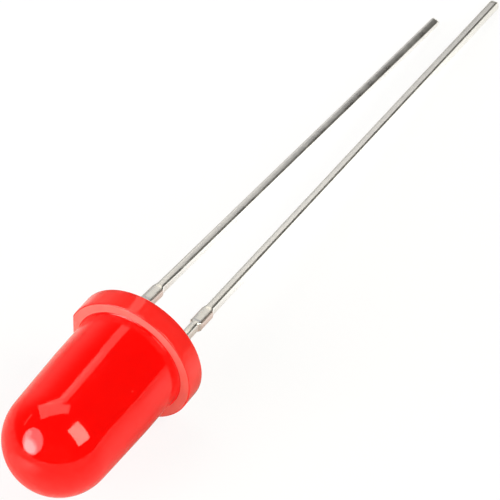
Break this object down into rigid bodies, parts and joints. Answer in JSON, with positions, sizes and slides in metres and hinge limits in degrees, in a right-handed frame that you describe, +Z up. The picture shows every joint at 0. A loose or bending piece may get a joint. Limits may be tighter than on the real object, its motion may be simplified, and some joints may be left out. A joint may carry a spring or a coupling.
{
  "type": "through-hole led",
  "caption": "Round red diffused indicator lamp: a flanged epoxy body with a flat on its cathode side and stamped metal leads, lying at rest.",
  "frame": {"origin": "on the surface that the lamp lies on, under the middle of its bounding box", "axes": "+Z up; +Y from the dome towards the lead tips; +X from the cathode to the anode"},
  "size_m": [0.0058, 0.0378, 0.0061],
  "materials": {
    "red_epoxy": "glossy cast epoxy, red dyed and diffused",
    "tinned_steel": "bright tin plating on a stamped steel strip",
    "chip": "sawn semiconductor chip",
    "silver_epoxy": "silver-filled conductive epoxy",
    "gold_wire": "drawn gold bond wire"
  },
  "bodies": {
    "root": {"lens": "red_epoxy", "cathode_lead": "tinned_steel", "anode_lead": "tinned_steel", "led_die": "chip", "die_attach": "silver_epoxy", "bond_wire": "gold_wire"}
  },
  "joints": []
}
